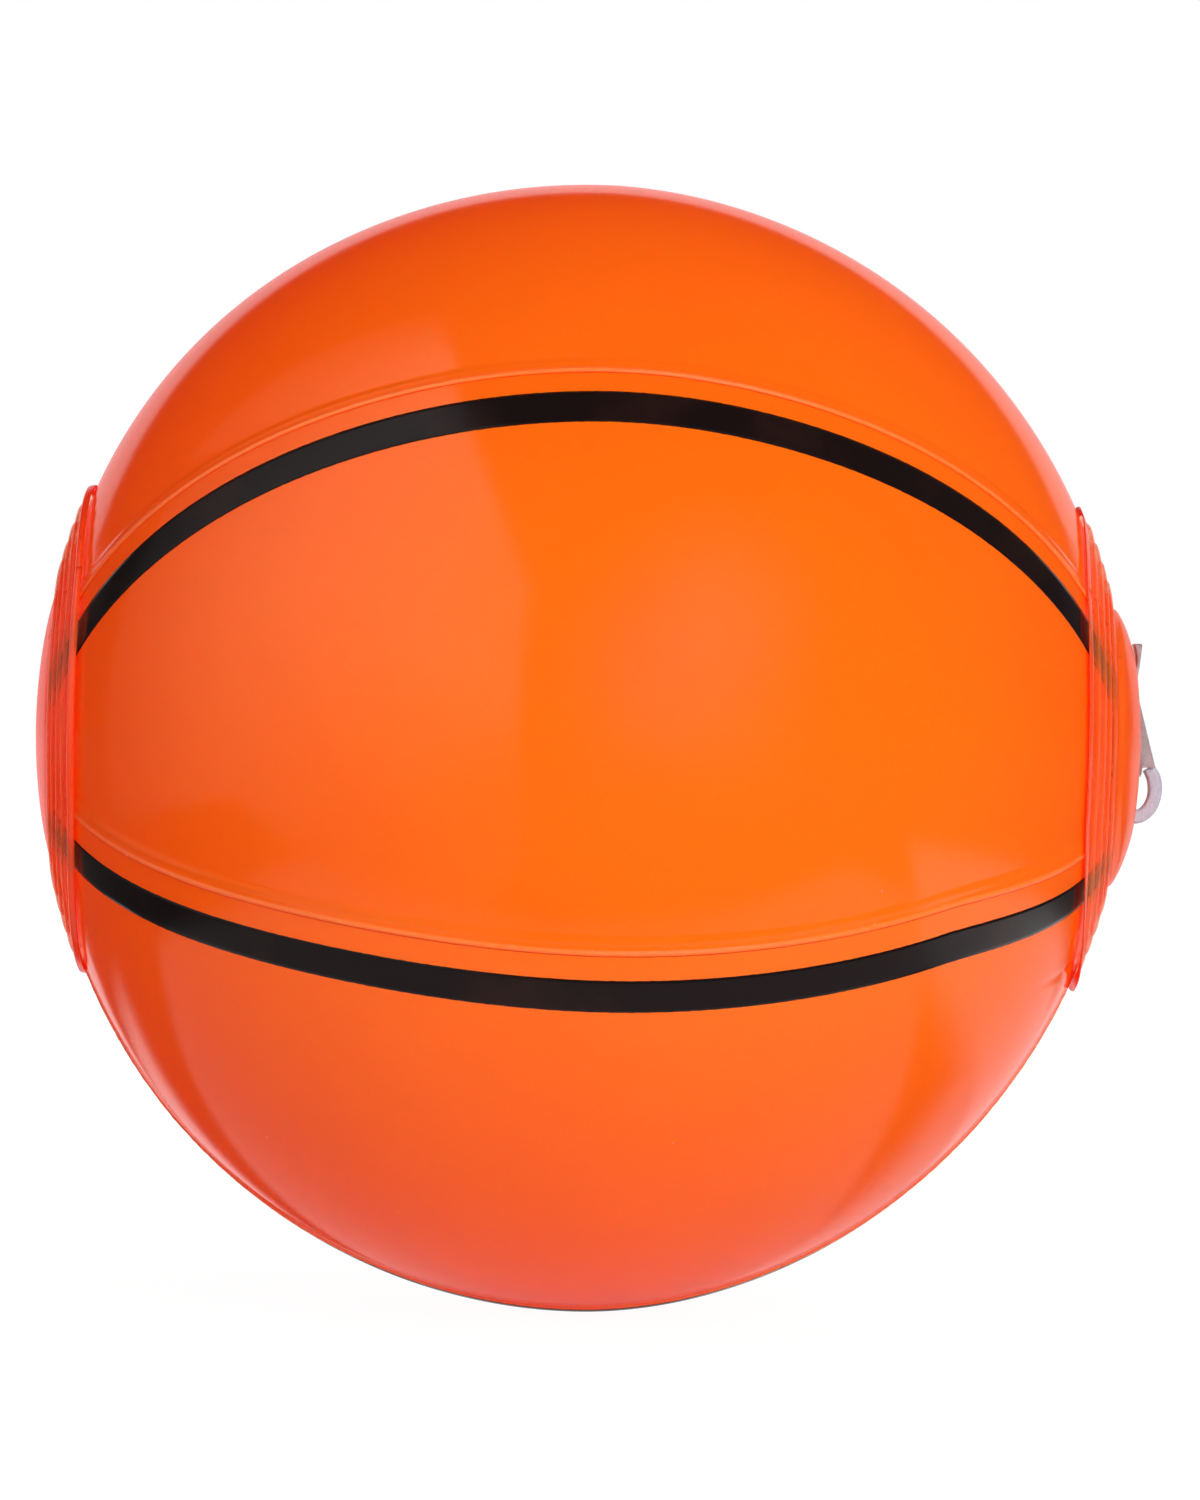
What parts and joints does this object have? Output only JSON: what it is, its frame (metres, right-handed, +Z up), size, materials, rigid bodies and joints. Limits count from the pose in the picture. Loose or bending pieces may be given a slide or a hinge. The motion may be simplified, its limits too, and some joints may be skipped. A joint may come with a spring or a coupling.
{
  "type": "inflatable beach ball",
  "caption": "Inflatable vinyl ball with striped orange panels, welded end discs and a push-in air valve with plug and strap.",
  "frame": {"origin": "middle of the blown-up ball, the centre of its bounding box; the pole axis runs 1.6 mm above it because the belly sags", "axes": "+X along the pole axis to the valve, +Z up, and -Y towards the side that the picture shows"},
  "size_m": [0.2813, 0.2798, 0.2798],
  "materials": {
    "panel_film": "gloss",
    "stripe_ink": "gloss",
    "cap_film": "gloss",
    "clear_vinyl": "gloss",
    "plug_vinyl": "gloss",
    "milky_vinyl": "gloss"
  },
  "bodies": {
    "ball": {"panel_1": "panel_film", "panel_2": "panel_film", "panel_3": "panel_film", "panel_4": "panel_film", "panel_5": "panel_film", "panel_6": "panel_film", "stripe_1": "stripe_ink", "stripe_2": "stripe_ink", "stripe_3": "stripe_ink", "stripe_4": "stripe_ink", "stripe_5": "stripe_ink", "stripe_6": "stripe_ink", "plain_cap": "cap_film", "valve_cap": "cap_film", "valve_flange": "clear_vinyl", "valve_web": "clear_vinyl"},
    "stem": {"valve_stem": "clear_vinyl", "plug_strap": "milky_vinyl"},
    "plug": {"valve_plug": "plug_vinyl"},
    "flap": {"check_flap": "clear_vinyl"}
  },
  "joints": [
    {"name": "valve_slide", "type": "slide", "parent": "ball", "child": "stem", "axis": [1, 0, 0], "range_m": [0, 0.014], "deforming": ["valve_web"]},
    {"name": "plug_slide", "type": "slide", "parent": "stem", "child": "plug", "axis": [1, 0, 0], "range_m": [0, 0.013], "deforming": ["plug_strap"]},
    {"name": "flap_hinge", "type": "hinge", "parent": "stem", "child": "flap", "pos_m": [0.1113, 0, 0.0068], "axis": [0, 1, 0], "range_deg": [0, 70]}
  ]
}
